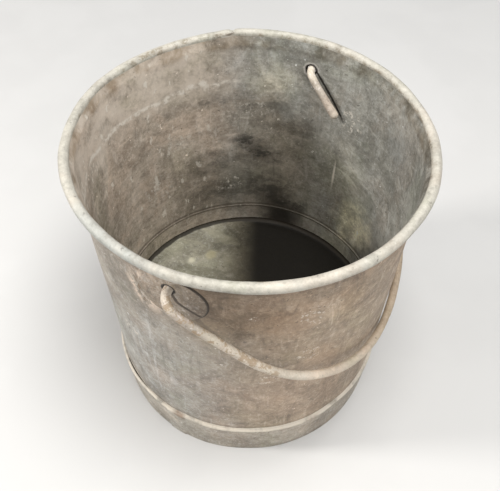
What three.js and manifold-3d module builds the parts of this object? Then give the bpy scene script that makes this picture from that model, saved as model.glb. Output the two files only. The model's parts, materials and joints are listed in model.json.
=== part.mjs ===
// A galvanised sheet-steel bucket for cut flowers, with a wired rim, an inset
// bottom, a foot hoop, two oval ear plates and a wire bail that hooks through
// holes in the wall. Millimetres, +Z up. The origin is the centre of the foot,
// on the ground. The bail turns about an axis parallel to Y and, at rest, leans
// on the wall on the +X side.

import * as THREE from "three";
import { mergeVertices } from "three/addons/utils/BufferGeometryUtils.js";
import Module from "manifold-3d";

const wasm = await Module();
wasm.setup();

// ---- Driving dimensions -------------------------------------------------

const GAP = 0.3; // clearance between pieces that touch on the real bucket
const ROUND_STEPS = 72; // facets in every full turn

const RIM_RADIUS = 130; // outside of the rim bead
const TOTAL_HEIGHT = 250; // ground to the top of the rim bead
const SHEET = 0.8; // thickness of the wall and bottom sheet
const WALL_EDGE_Z = 1; // lower edge of the wall, just inside the foot hoop
const WALL_FOOT_RADIUS = 108.3; // outside of the wall, carried down to the ground
const WALL_TAPER = 0.0544; // growth in radius for each millimetre of height

const BEAD_RADIUS = 3.6; // the curl of sheet around the rim wire
const RIM_WIRE_RADIUS = 2.4;
const CURL_END = -125; // degrees round from the outside of the bead
const FLARE_Z = 241; // where the wall starts to bend out into the bead

const FLOOR_Z = 39.5; // upper face of the bottom
const FLANGE_TOP_Z = 59.5; // upper edge of the bottom's flange
const FLOOR_BEND = 3; // bend between the bottom and its flange

const HOOP_THICKNESS = 0.9;
const HOOP_HEIGHT = 36.5;
const HOOP_ROLL_RADIUS = 1.6; // rolled upper edge of the hoop

const SEAM_ANGLE = 121; // side seam of the wall, degrees from +X towards +Y
const SEAM_WIDTH = 8;
const SEAM_HEIGHT = 1;
const SEAM_BOTTOM_Z = 39;
const SEAM_TOP_Z = 241;

const PIVOT_Z = 223.8; // height of the bail holes
const HOLE_RADIUS = 4;

const EAR_HALF_WIDTH = 24.4;
const EAR_HALF_HEIGHT = 21.8;
const EAR_THICKNESS = 1;
const EAR_SHIFT = 0.5; // the oval sits this far to one side of its hole
const EAR_CENTRE_Z = 213.4;

const BAIL_WIRE_RADIUS = 3.1;
const BAIL_WIRE_SIDES = 10;
const SWEEP_RADIUS = 135.7; // sides keep this far from the hinge: clears the bead
const SIDE_SLOPE = 13.5; // degrees that each side leans in where it runs straight
const BOW_RADIUS = 126; // the round middle of the bail
const BOW_STEPS = 12; // in each half of the bow
const BAIL_REST_TILT = 45.5; // degrees out from straight down, leaning on the wall
const SHOULDER_RADIUS = 9; // bend from the hole into the leg
const HOOK_RADIUS = 5; // bend from the hole into the inside tail
const TAIL_HALF_SPAN = 109; // where the tail runs, to the centre line
const TAIL_LENGTH = 44;
const TAIL_LEAN = 4; // how far the tail's end leans inwards
const TAIL_TILT = 40; // degrees out from straight down at rest
const BEND_STEPS = 5;
const SIDE_STEPS = 6;

// ---- Helpers ------------------------------------------------------------

const radians = THREE.MathUtils.degToRad;

function wallOutside(z) {
  return WALL_FOOT_RADIUS + WALL_TAPER * z;
}

function wallInside(z) {
  return wallOutside(z) - SHEET;
}

// The closed outline of a sheet of the given thickness along a centre line.
function sheetOutline(line, thickness) {
  const left = [];
  const right = [];
  line.forEach((point, i) => {
    const before = line[Math.max(i - 1, 0)];
    const after = line[Math.min(i + 1, line.length - 1)];
    const incoming = point.clone().sub(i ? before : point).normalize();
    const outgoing = after.clone().sub(i < line.length - 1 ? point : before).normalize();
    const tangent = incoming.clone().add(outgoing).normalize();
    const normal = new THREE.Vector2(-tangent.y, tangent.x);
    const straight = i ? incoming : outgoing;
    const across = new THREE.Vector2(-straight.y, straight.x);
    const reach = thickness / 2 / Math.max(normal.dot(across), 0.5);
    left.push(point.clone().addScaledVector(normal, reach));
    right.push(point.clone().addScaledVector(normal, -reach));
  });
  return [...left, ...right.reverse()];
}

// Turns a closed outline in the radius-height plane round the Z axis.
function turned(outline) {
  const points = outline.map((p) => new THREE.Vector2(Math.max(p.x, 0), p.y));
  const onAxis = points[0].x === 0 && points.at(-1).x === 0;
  if (!onAxis) points.push(points[0].clone());
  const geometry = new THREE.LatheGeometry(points, ROUND_STEPS);
  geometry.rotateX(Math.PI / 2);
  return outward(geometry);
}

function signedVolume(geometry) {
  const corner = [new THREE.Vector3(), new THREE.Vector3(), new THREE.Vector3()];
  const { index, attributes } = geometry;
  let sum = 0;
  for (let i = 0; i < index.count; i += 3) {
    corner.forEach((v, k) => v.fromBufferAttribute(attributes.position, index.getX(i + k)));
    sum += corner[0].dot(corner[1].clone().cross(corner[2]));
  }
  return sum / 6;
}

// Merges shared vertices, drops flat triangles and makes the faces point out.
function outward(source) {
  const bare = source.clone();
  bare.deleteAttribute("normal");
  bare.deleteAttribute("uv");
  const geometry = mergeVertices(bare, 1e-3);
  const old = geometry.index.array;
  const flip = signedVolume(geometry) < 0;
  const kept = [];
  for (let i = 0; i < old.length; i += 3) {
    const [a, b, c] = [old[i], old[i + 1], old[i + 2]];
    if (a === b || b === c || a === c) continue;
    if (flip) kept.push(a, c, b);
    else kept.push(a, b, c);
  }
  geometry.setIndex(kept);
  return geometry;
}

function toSolid(geometry) {
  const clean = outward(geometry);
  return new wasm.Manifold(
    new wasm.Mesh({
      numProp: 3,
      vertProperties: new Float32Array(clean.attributes.position.array),
      triVerts: new Uint32Array(clean.index.array),
    })
  );
}

function toGeometry(solid) {
  const mesh = solid.getMesh();
  const geometry = new THREE.BufferGeometry();
  geometry.setAttribute("position", new THREE.BufferAttribute(mesh.vertProperties, 3));
  geometry.setIndex(new THREE.BufferAttribute(mesh.triVerts, 1));
  return geometry;
}

function piece(name, geometry, colour, roughness, metalness) {
  geometry.computeVertexNormals();
  const material = new THREE.MeshStandardMaterial({ color: colour, roughness, metalness });
  const mesh = new THREE.Mesh(geometry, material);
  mesh.name = name;
  return mesh;
}

// A cone-shaped band that follows the wall between two heights.
function wallBand(lowZ, highZ, inner, outer) {
  return turned([
    new THREE.Vector2(wallOutside(lowZ) + inner, lowZ),
    new THREE.Vector2(wallOutside(lowZ) + outer, lowZ),
    new THREE.Vector2(wallOutside(highZ) + outer, highZ),
    new THREE.Vector2(wallOutside(highZ) + inner, highZ),
  ]);
}

// A round bar through one side of the wall at the height of the bail holes.
function holeBar(side) {
  const bar = new THREE.CylinderGeometry(HOLE_RADIUS, HOLE_RADIUS, 24, 32);
  bar.translate(0, side * wallOutside(PIVOT_Z), PIVOT_Z);
  return bar;
}

// ---- Pieces -------------------------------------------------------------

// The wall: one sheet rolled into a cone, seamed up its back and curled
// outwards at the top around the rim wire.
function bodyShell() {
  const beadZ = TOTAL_HEIGHT - BEAD_RADIUS;
  const beadCentre = RIM_RADIUS - BEAD_RADIUS;
  const curl = BEAD_RADIUS - SHEET / 2;
  const middle = (z) => wallOutside(z) - SHEET / 2;
  const line = [
    new THREE.Vector2(middle(WALL_EDGE_Z), WALL_EDGE_Z),
    new THREE.Vector2(middle(FLARE_Z), FLARE_Z),
  ];
  for (let angle = 190; angle > CURL_END; angle -= 21) {
    const a = radians(angle);
    line.push(new THREE.Vector2(beadCentre + curl * Math.cos(a), beadZ + curl * Math.sin(a)));
  }
  const wall = toSolid(turned(sheetOutline(line, SHEET)));

  const rib = new THREE.BoxGeometry(40, SEAM_WIDTH, TOTAL_HEIGHT * 2);
  rib.translate(RIM_RADIUS - 15, 0, 0);
  rib.rotateZ(radians(SEAM_ANGLE));
  const band = wallBand(SEAM_BOTTOM_Z, SEAM_TOP_Z, -SHEET / 2, SEAM_HEIGHT);
  const seam = toSolid(band).intersect(toSolid(rib));

  const holes = toSolid(holeBar(-1)).add(toSolid(holeBar(1)));
  return toGeometry(wall.add(seam).subtract(holes));
}

// The steel wire inside the curled rim.
function rimWire() {
  const ring = new THREE.TorusGeometry(
    RIM_RADIUS - BEAD_RADIUS,
    RIM_WIRE_RADIUS,
    8,
    ROUND_STEPS
  );
  ring.translate(0, 0, TOTAL_HEIGHT - BEAD_RADIUS);
  return outward(ring);
}

// The bottom: a disc with its flange turned up inside the wall.
function bottomPan() {
  const discZ = FLOOR_Z - SHEET / 2;
  const flange = (z) => wallInside(z) - GAP - SHEET / 2;
  const bendEndZ = discZ + FLOOR_BEND;
  const line = [new THREE.Vector2(0, discZ)];
  const centre = flange(bendEndZ) - FLOOR_BEND;
  for (let angle = -90; angle <= 0; angle += 30) {
    const a = radians(angle);
    line.push(
      new THREE.Vector2(centre + FLOOR_BEND * Math.cos(a), bendEndZ + FLOOR_BEND * Math.sin(a))
    );
  }
  line.push(new THREE.Vector2(flange(FLANGE_TOP_Z), FLANGE_TOP_Z));
  return turned(sheetOutline(line, SHEET));
}

// The foot: a band round the lower edge of the wall with a rolled upper edge.
function footHoop() {
  const inner = (z) => wallOutside(z) + GAP;
  const outer = (z) => inner(z) + HOOP_THICKNESS;
  const rollZ = HOOP_HEIGHT - HOOP_ROLL_RADIUS;
  const outline = [
    new THREE.Vector2(inner(0), 0),
    new THREE.Vector2(outer(0), 0),
    new THREE.Vector2(outer(rollZ - HOOP_ROLL_RADIUS), rollZ - HOOP_ROLL_RADIUS),
  ];
  for (let angle = -60; angle <= 90; angle += 30) {
    const a = radians(angle);
    outline.push(
      new THREE.Vector2(
        inner(rollZ) + HOOP_THICKNESS / 2 + HOOP_ROLL_RADIUS * Math.cos(a),
        rollZ + HOOP_ROLL_RADIUS * Math.sin(a)
      )
    );
  }
  outline.push(new THREE.Vector2(inner(HOOP_HEIGHT), HOOP_HEIGHT));
  return turned(outline);
}

// An oval plate soldered to the outside of the wall round one bail hole.
function earPlate(side) {
  const oval = new THREE.Shape();
  oval.absellipse(side * -EAR_SHIFT, 0, EAR_HALF_WIDTH, EAR_HALF_HEIGHT, 0, Math.PI * 2);
  const prism = new THREE.ExtrudeGeometry(oval, { depth: 60, bevelEnabled: false, curveSegments: 24 });
  prism.rotateX(Math.PI / 2);
  prism.translate(0, side > 0 ? RIM_RADIUS + 10 : 50 - RIM_RADIUS, EAR_CENTRE_Z);
  const inner = GAP;
  const outer = GAP + EAR_THICKNESS;
  const band = wallBand(EAR_CENTRE_Z - 25, EAR_CENTRE_Z + 25, inner, outer);
  const plate = toSolid(band).intersect(toSolid(prism));
  return toGeometry(plate.subtract(toSolid(holeBar(side))));
}

// A curve through a list of points, stepped from point to point.
class WirePath extends THREE.Curve {
  constructor(points) {
    super();
    this.points = points;
  }

  getPoint(t, target = new THREE.Vector3()) {
    const place = t * (this.points.length - 1);
    const i = Math.min(Math.floor(place), this.points.length - 2);
    return target.lerpVectors(this.points[i], this.points[i + 1], place - i);
  }

  getPointAt(u, target) {
    return this.getPoint(u, target);
  }

  getTangentAt(u, target = new THREE.Vector3()) {
    const step = 0.5 / (this.points.length - 1);
    const a = this.getPoint(Math.max(u - step, 0));
    const b = this.getPoint(Math.min(u + step, 1));
    return target.copy(b).sub(a).normalize();
  }
}

// Half of the bail wire, from the tail's end inside the bucket, through the
// hole and down to the middle of the bow. across is measured along the hinge
// axis from the middle, and away from the hinge axis.
function bailHalf(side) {
  const points = [];
  const add = (across, away, tilt) => {
    const a = radians(tilt);
    points.push(
      new THREE.Vector3(away * Math.sin(a), side * across, PIVOT_Z - away * Math.cos(a))
    );
  };
  const bend = (steps, from, to, place) => {
    for (let i = 0; i <= steps; i++) place(radians(from + ((to - from) * i) / steps));
  };

  add(TAIL_HALF_SPAN - TAIL_LEAN, TAIL_LENGTH, TAIL_TILT);
  add(TAIL_HALF_SPAN - TAIL_LEAN / 2, TAIL_LENGTH / 2, TAIL_TILT);
  bend(BEND_STEPS, 0, 90, (a) => {
    const across = TAIL_HALF_SPAN + HOOK_RADIUS * (1 - Math.cos(a));
    add(across, HOOK_RADIUS * (1 - Math.sin(a)), TAIL_TILT);
  });
  const legSpan = Math.sqrt(SWEEP_RADIUS ** 2 - SHOULDER_RADIUS ** 2);
  bend(BEND_STEPS, 0, 90, (a) => {
    const across = legSpan - SHOULDER_RADIUS * (1 - Math.sin(a));
    add(across, SHOULDER_RADIUS * (1 - Math.cos(a)), BAIL_REST_TILT);
  });
  bend(SIDE_STEPS, SIDE_SLOPE / SIDE_STEPS, SIDE_SLOPE, (a) => {
    add(SWEEP_RADIUS * Math.cos(a), SWEEP_RADIUS * Math.sin(a), BAIL_REST_TILT);
  });

  // The straight side runs on until it meets the bow, which ends on the middle.
  const slope = radians(SIDE_SLOPE);
  const sideRun = ((SWEEP_RADIUS - BOW_RADIUS) * Math.cos(slope)) / Math.tan(slope);
  const bowCentre = (SWEEP_RADIUS - BOW_RADIUS) * Math.sin(slope) + sideRun;
  bend(BOW_STEPS, SIDE_SLOPE, 90, (a) => {
    const across = Math.max(BOW_RADIUS * Math.cos(a), 0);
    add(across, bowCentre + BOW_RADIUS * Math.sin(a), BAIL_REST_TILT);
  });
  return points;
}

// The bail: one bent wire, symmetric about the XZ plane.
function bail() {
  const near = bailHalf(-1);
  const far = bailHalf(1).reverse().slice(1);
  const path = new WirePath([...near, ...far]);
  const section = new THREE.Shape();
  for (let i = 0; i < BAIL_WIRE_SIDES; i++) {
    const a = (2 * Math.PI * i) / BAIL_WIRE_SIDES;
    const x = BAIL_WIRE_RADIUS * Math.cos(a);
    const y = BAIL_WIRE_RADIUS * Math.sin(a);
    if (i) section.lineTo(x, y);
    else section.moveTo(x, y);
  }
  section.closePath();
  const tube = new THREE.ExtrudeGeometry(section, {
    steps: path.points.length - 1,
    extrudePath: path,
    bevelEnabled: false,
  });
  return outward(tube);
}

// ---- Assembly -----------------------------------------------------------

const group = new THREE.Group();
group.add(piece("body_shell", bodyShell(), 0x8f8a80, 0.62, 0.75));
group.add(piece("rim_wire", rimWire(), 0x6d6a66, 0.6, 0.8));
group.add(piece("bottom_pan", bottomPan(), 0x77746a, 0.7, 0.65));
group.add(piece("foot_hoop", footHoop(), 0x9a958b, 0.6, 0.75));
group.add(piece("ear_plate_front", earPlate(-1), 0x8a857b, 0.62, 0.75));
group.add(piece("ear_plate_back", earPlate(1), 0x8a857b, 0.62, 0.75));
group.add(piece("bail", bail(), 0xa09b90, 0.55, 0.8));

export default group;
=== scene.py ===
"""Looks for a weathered galvanised florist bucket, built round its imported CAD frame.

Metres, +Z up, in the frame of the CAD part. Angles run from +X towards +Y. Every
piece of the bucket follows the same warp, so the sheets stay nested where they dent.
"""

import json
import math

import bmesh
import bpy
import numpy as np
from mathutils import Matrix, Vector


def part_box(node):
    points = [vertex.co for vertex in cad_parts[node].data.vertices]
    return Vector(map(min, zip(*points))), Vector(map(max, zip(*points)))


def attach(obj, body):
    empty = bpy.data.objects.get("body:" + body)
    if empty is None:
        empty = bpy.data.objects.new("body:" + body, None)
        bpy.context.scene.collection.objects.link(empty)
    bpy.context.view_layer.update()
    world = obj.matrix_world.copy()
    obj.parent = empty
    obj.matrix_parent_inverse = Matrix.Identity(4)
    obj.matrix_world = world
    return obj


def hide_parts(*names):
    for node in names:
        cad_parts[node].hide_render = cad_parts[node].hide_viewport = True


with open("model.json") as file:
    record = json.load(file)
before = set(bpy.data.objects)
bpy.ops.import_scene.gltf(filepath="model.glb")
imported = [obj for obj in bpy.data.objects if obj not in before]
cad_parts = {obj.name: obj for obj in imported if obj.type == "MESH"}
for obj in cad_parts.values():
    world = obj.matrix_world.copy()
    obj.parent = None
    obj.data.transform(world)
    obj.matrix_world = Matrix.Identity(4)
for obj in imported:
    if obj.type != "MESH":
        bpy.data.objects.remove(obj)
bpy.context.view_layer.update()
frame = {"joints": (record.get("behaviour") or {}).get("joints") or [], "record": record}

# ---- Measures taken from the frame --------------------------------------

MM = 0.001
SHELL_LOW, SHELL_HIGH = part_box("body_shell")
HOOP_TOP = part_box("foot_hoop")[1].z
PAN_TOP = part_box("bottom_pan")[1].z
RIM_RADIUS = SHELL_HIGH.x
TOP = SHELL_HIGH.z
FOOT = SHELL_LOW.z
HINGE_Z = frame["joints"][0]["pos_m"][2]
FLOOR_Z = next(m["pos_m"][2] for m in frame["record"]["mounts"] if m["name"] == "inner_floor")

# ---- Dimensions shared with the CAD part --------------------------------

WALL_FOOT_RADIUS = 108.3 * MM  # outside of the wall, carried down to the ground
WALL_TAPER = 0.0544
SHEET = 0.8 * MM
GAP = 0.3 * MM
BEAD = 3.6 * MM  # radius of the rolled rim
BEAD_Z = TOP - BEAD
BEAD_RADIUS = RIM_RADIUS - BEAD
FLARE_Z = 241 * MM  # where the wall bends out into the rim
RIM_WIRE = 2.4 * MM
WALL_HOLE = 4.8 * MM  # the wall's holes, worn wide
PLATE_HOLE = 3.5 * MM
SEAM_ANGLE = 121
HOOP_THICKNESS = 0.9 * MM
HOOP_ROLL = 1.6 * MM
FLOOR_BEND = 3 * MM
FLANGE_TOP = FLOOR_Z + 20 * MM

BAIL_WIRE = 3.1 * MM
BAIL_TILT = 45.5  # degrees out from straight down, leaning on the wall
BAIL_REACH = 135.7 * MM
BAIL_SLOPE = 13.5
BOW_RADIUS = 126 * MM
SHOULDER = 9 * MM
HOOK = 5 * MM
TAIL_SPANS = {-1: 117 * MM, 1: 110 * MM}  # each end's tail, from the middle of the bail
TAIL_LENGTH = 44 * MM
TAIL_LEAN = 5 * MM  # how far a tail's end leans in off the wall
TAIL_TILT = 40
BAIL_BEND = 2.4 * MM  # how far the bow is bent in towards the wall
BAIL_SLIDE = 4.5 * MM  # the bail has slid this far along its pins, towards +Y

# ---- Wear that several pieces or layers share ---------------------------

HOOP_LAP_ANGLE = 263
SPRUNG_ANGLE = 236  # where the foot hoop has sprung off the wall
FLAT_ANGLE = 149  # where the mouth is pushed flat
DARK_HALF_ANGLE = 23.8  # the way the edge of the bottom's near-black half faces
WATER_LINE = 205 * MM
WALL_MIDDLE = 0.115  # radius of the wall half way up

ROUND_STEPS = 480  # points round the turn


# ---- Shape helpers ------------------------------------------------------


def wall_outside(z):
    return WALL_FOOT_RADIUS + WALL_TAPER * z


def wall_inside(z):
    return wall_outside(z) - SHEET


def hill(angle, centre, half_width):
    """1 at an angle in degrees, falling smoothly to 0 at half_width degrees from it."""
    away = np.abs((np.degrees(angle) - centre + 180) % 360 - 180) / half_width
    return np.where(away < 1, (1 - np.minimum(away, 1) ** 2) ** 2, 0)


def ease(value, low, high):
    """0 below low, 1 above high and smooth between."""
    t = np.clip((value - low) / (high - low), 0, 1)
    return t * t * (3 - 2 * t)


def plate_oval(side):
    """An ear plate's middle and its half sizes, over X and over height."""
    low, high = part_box("ear_plate_front" if side < 0 else "ear_plate_back")
    half_width, half_height = (high.x - low.x) / 2, (high.z - low.z) / 2
    return (high.x + low.x) / 2, (high.z + low.z) / 2, half_width, half_height


# Shallow knocks in the wall: angle, height, depth and radius.
KNOCKS = (
    (262, 0.150, 0.9 * MM, 26 * MM),
    (300, 0.105, 0.8 * MM, 30 * MM),
    (238, 0.085, 0.7 * MM, 22 * MM),
    (330, 0.165, 0.7 * MM, 28 * MM),
    (20, 0.100, 0.9 * MM, 30 * MM),
    (75, 0.160, 0.8 * MM, 34 * MM),
    (140, 0.120, 1.0 * MM, 36 * MM),
    (190, 0.140, 0.8 * MM, 30 * MM),
    (215, 0.190, 0.6 * MM, 24 * MM),
)


def warp(angle, z):
    """How far the bucket's sheets are pushed out from a true cone."""
    height = z / TOP
    flat = hill(angle, FLAT_ANGLE, 34) * ease(z, 0.10, TOP)
    push = -2.6 * MM * flat
    push += 0.9 * MM * hill(angle, 118, 12) * ease(z, 0.18, TOP)
    push += (0.5 * np.cos(2 * angle - 0.6) + 0.3 * np.cos(3 * angle + 1.4)) * MM * height
    push += (0.16 * np.sin(7 * angle + 26 * z) + 0.12 * np.sin(12 * angle - 45 * z)) * MM
    for centre, knock_z, depth, radius in KNOCKS:
        turn = (np.degrees(angle) - centre + 180) % 360 - 180
        along = np.radians(turn) * wall_outside(knock_z)
        away = (along**2 + (z - knock_z) ** 2) / radius**2
        push -= depth * np.exp(-2.5 * away)
    return push


def on_wall(side, x, z, out):
    """Points over the warped wall at one end of the Y axis, lifted out from it."""
    lean = np.arcsin(np.clip(x / wall_outside(z), -1, 1))
    angle = lean - math.pi / 2 if side < 0 else math.pi / 2 - lean
    radius = wall_outside(z) + out + warp(angle, z)
    return np.stack([radius * np.cos(angle), radius * np.sin(angle), z], -1)


def new_piece(name, vertices, faces, sharp=35):
    """A mesh object with its faces turned outwards and only its sharp edges crisp."""
    mesh = bpy.data.meshes.new(name)
    mesh.from_pydata(vertices, [], faces)
    work = bmesh.new()
    work.from_mesh(mesh)
    bmesh.ops.recalc_face_normals(work, faces=work.faces)
    work.to_mesh(mesh)
    work.free()
    mesh.shade_smooth()
    mesh.set_sharp_from_angle(angle=math.radians(sharp))
    piece = bpy.data.objects.new(name, mesh)
    bpy.context.scene.collection.objects.link(piece)
    return piece


def closed_skin(name, vertices, sharp):
    """A closed skin over a grid of points that comes round to its start both ways."""
    rows, count = vertices.shape[:2]
    row, point = np.meshgrid(np.arange(rows), np.arange(count), indexing="ij")
    after, beyond = (row + 1) % rows, (point + 1) % count
    corners = [row * count + point, after * count + point]
    corners += [after * count + beyond, row * count + beyond]
    faces = np.stack(corners, -1).reshape(-1, 4)
    return new_piece(name, vertices.reshape(-1, 3).tolist(), faces.tolist(), sharp)


def turned(name, radii, heights, angles, sharp=35):
    """A closed outline turned round the axis, from arrays of angle by outline point."""
    x = radii * np.cos(angles)[:, None]
    y = radii * np.sin(angles)[:, None]
    return closed_skin(name, np.stack([x, y, heights], -1), sharp)


def outline_grid(outline, angles):
    """An outline of (radius, height) points repeated at every angle, as two arrays."""
    line = np.array(outline)
    radii = np.repeat(line[None, :, 0], len(angles), 0)
    heights = np.repeat(line[None, :, 1], len(angles), 0)
    return radii, heights


def full_turn(steps=ROUND_STEPS):
    return np.linspace(0, 2 * math.pi, steps, endpoint=False)


def paint_faces(piece, materials, choose):
    """Gives each face the material that choose picks from its middle and its normal."""
    for material in materials:
        piece.data.materials.append(material)
    for face in piece.data.polygons:
        face.material_index = choose(face.center, face.normal)


def bore_holes(piece):
    """Cuts the two bail holes through a piece."""
    for side in (-1, 1):
        bpy.ops.mesh.primitive_cylinder_add(
            vertices=40,
            radius=WALL_HOLE,
            depth=0.03,
            location=(0, side * wall_outside(HINGE_Z), HINGE_Z),
            rotation=(math.pi / 2, 0, 0),
        )
        cutter = bpy.context.object
        cut = piece.modifiers.new("hole", "BOOLEAN")
        cut.object = cutter
        cut.solver = "EXACT"
        cut_mesh = bpy.data.meshes.new_from_object(
            piece.evaluated_get(bpy.context.evaluated_depsgraph_get())
        )
        piece.modifiers.clear()
        piece.data = cut_mesh
        bpy.data.objects.remove(cutter)


# ---- Materials ----------------------------------------------------------

# Marks on the wall: angle, height, half width, half height and, for dark patches, strength.
LIME_SPOTS = (
    (314, 0.199, 0.012, 0.012),
    (315, 0.148, 0.012, 0.010),
    (295, 0.204, 0.005, 0.004),
    (301, 0.120, 0.010, 0.008),
    (246, 0.130, 0.014, 0.010),
    (60, 0.150, 0.014, 0.012),
    (170, 0.110, 0.016, 0.012),
)
LIME_INSIDE = (
    (124, 0.090, 0.018, 0.012),
    (148, 0.150, 0.020, 0.016),
    (160, 0.110, 0.020, 0.020),
    (112, 0.175, 0.018, 0.010),
    (70, 0.190, 0.016, 0.014),
)
INSIDE_DARK_PATCHES = (
    (117, 0.140, 0.022, 0.012, 0.95),
    (107, 0.124, 0.026, 0.013, 0.95),
    (104, 0.085, 0.026, 0.030, 0.75),
    (134, 0.120, 0.034, 0.022, 0.35),
    (92, 0.160, 0.030, 0.024, 0.40),
    (128, 0.186, 0.030, 0.012, 0.45),
    (76, 0.200, 0.016, 0.010, 0.35),
    (113, 0.130, 0.014, 0.009, 0.95),
    (124, 0.078, 0.046, 0.030, 0.50),
    (92, 0.068, 0.022, 0.018, 0.85),
    (103, 0.184, 0.022, 0.012, 0.35),
)


def around(height, *steps):
    """Heights a number of millimetres from one height."""
    return [height + step * MM for step in steps]


class Surface:
    """One material's node tree, grown a layer at a time from the object's own coordinates."""

    def __init__(self, name, roughness, metallic):
        self.material = bpy.data.materials.new(name)
        self.material.use_nodes = True
        self.tree = self.material.node_tree
        self.shader = self.tree.nodes["Principled BSDF"]
        self.shader.inputs["Roughness"].default_value = roughness
        self.shader.inputs["Metallic"].default_value = metallic
        self.place = self.node("ShaderNodeTexCoord").outputs["Object"]
        split = self.node("ShaderNodeSeparateXYZ")
        self.join(self.place, split.inputs[0])
        self.x, self.y, self.height = split.outputs
        self.colour = None
        self.relief = []

    def node(self, kind, **settings):
        made = self.tree.nodes.new(kind)
        for key, value in settings.items():
            setattr(made, key, value)
        return made

    def join(self, source, socket):
        """Links an output to a socket, or sets a plain number or colour on it."""
        if isinstance(source, bpy.types.NodeSocket):
            self.tree.links.new(source, socket)
        elif isinstance(source, tuple) and len(source) == 3 and socket.type == "RGBA":
            socket.default_value = (*source, 1)
        else:
            socket.default_value = source

    def noise(self, scale, detail=4, rough=0.55, stretch=(1, 1, 1), turn=(0, 0, 0), twist=0.0):
        """Fractal noise from 0 to 1, with scale in cycles for each metre."""
        mapping = self.node("ShaderNodeMapping")
        mapping.inputs["Scale"].default_value = stretch
        mapping.inputs["Rotation"].default_value = turn
        mapping.inputs["Location"].default_value = (scale * 0.013, scale * 0.029, scale * 0.007)
        self.join(self.place, mapping.inputs["Vector"])
        texture = self.node("ShaderNodeTexNoise")
        self.join(mapping.outputs[0], texture.inputs["Vector"])
        texture.inputs["Scale"].default_value = scale
        texture.inputs["Detail"].default_value = detail
        texture.inputs["Roughness"].default_value = rough
        texture.inputs["Distortion"].default_value = twist
        return texture.outputs["Fac"]

    def spangle(self, scale):
        """Random tone in each crystal of the zinc, from 0 to 1."""
        texture = self.node("ShaderNodeTexVoronoi")
        self.join(self.place, texture.inputs["Vector"])
        texture.inputs["Scale"].default_value = scale
        split = self.node("ShaderNodeSeparateColor")
        self.join(texture.outputs["Color"], split.inputs[0])
        return split.outputs[0]

    def between(self, value, low, high, top=1.0):
        """A smooth step in value, from 0 at low to top at high. Low may be the larger."""
        step = self.node("ShaderNodeMapRange", interpolation_type="SMOOTHSTEP")
        self.join(value, step.inputs["Value"])
        step.inputs["From Min"].default_value = low
        step.inputs["From Max"].default_value = high
        step.inputs["To Max"].default_value = top
        return step.outputs["Result"]

    def band(self, value, foot, low, high, head):
        """1 between low and high, easing to 0 at foot below them and at head above them."""
        return self.both(self.between(value, foot, low), self.between(value, head, high))

    def maths(self, operation, first, second=0.0):
        """One step of arithmetic on outputs or plain numbers."""
        made = self.node("ShaderNodeMath", operation=operation)
        self.join(first, made.inputs[0])
        self.join(second, made.inputs[1])
        return made.outputs[0]

    def minus(self, first, second):
        return self.maths("SUBTRACT", first, second)

    def length(self, across, up):
        return self.maths("SQRT", self.maths("ADD", self.both(across, across), self.both(up, up)))

    def both(self, *masks):
        """The product of masks, any of which but the first may be a plain number."""
        product = masks[0]
        for mask in masks[1:]:
            product = self.maths("MULTIPLY", product, mask)
        return product

    def facing(self, angle, radius=WALL_MIDDLE):
        """Cosine of the angle round the axis from a direction, about 1 on the wall there."""
        dot = self.node("ShaderNodeVectorMath", operation="DOT_PRODUCT")
        self.join(self.place, dot.inputs[0])
        a = math.radians(angle)
        dot.inputs[1].default_value = (math.cos(a) / radius, math.sin(a) / radius, 0)
        return dot.outputs["Value"]

    def radius(self):
        """Distance from the bucket's axis."""
        flat = self.node("ShaderNodeVectorMath", operation="MULTIPLY")
        self.join(self.place, flat.inputs[0])
        flat.inputs[1].default_value = (1, 1, 0)
        length = self.node("ShaderNodeVectorMath", operation="LENGTH")
        self.join(flat.outputs["Vector"], length.inputs[0])
        return length.outputs["Value"]

    def patch(self, angle, height, wide, tall, ragged=0.9, scale=45, soft=0.45):
        """A ragged spot on the wall at an angle and a height, with its half sizes."""
        along = self.facing(angle + 90, wide)
        up = self.maths("DIVIDE", self.minus(self.height, height), tall)
        away = self.wavering(self.length(along, up), scale, ragged)
        return self.both(self.between(away, 1.0, soft), self.between(self.facing(angle), 0.0, 0.3))

    def wavering(self, value, scale, amount):
        """A value moved up and down by noise, so that its bands get ragged edges."""
        shifted = self.minus(self.noise(scale, 5, 0.6), 0.5)
        return self.maths("ADD", value, self.both(shifted, amount))

    def ragged(self, value, scale, amount, low, high, top=1.0):
        """A step in value like between's, with a ragged edge."""
        return self.between(self.wavering(value, scale, amount), low, high, top)

    def lay(self, colour, *masks, blend="MIX"):
        """Lays a colour over what is there, where every mask is high."""
        if self.colour is None:
            self.colour = colour
            return
        mix = self.node("ShaderNodeMix", data_type="RGBA", blend_type=blend)
        self.join(self.both(*masks), mix.inputs[0])
        self.join(self.colour, mix.inputs[6])
        self.join(colour, mix.inputs[7])
        self.colour = mix.outputs[2]

    def tint(self, colour, *masks):
        """Multiplies what is there by a colour, so that its detail stays."""
        self.lay(colour, *masks, blend="MULTIPLY")

    def raise_by(self, value, amount):
        self.relief.append(self.both(value, amount))

    def finish(self, relief_depth=0.5 * MM):
        self.join(self.colour, self.shader.inputs["Base Color"])
        if self.relief:
            total = self.relief[0]
            for more in self.relief[1:]:
                total = self.maths("ADD", total, more)
            bump = self.node("ShaderNodeBump")
            bump.inputs["Distance"].default_value = relief_depth
            self.join(total, bump.inputs["Height"])
            self.join(bump.outputs[0], self.shader.inputs["Normal"])
        return self.material


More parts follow.
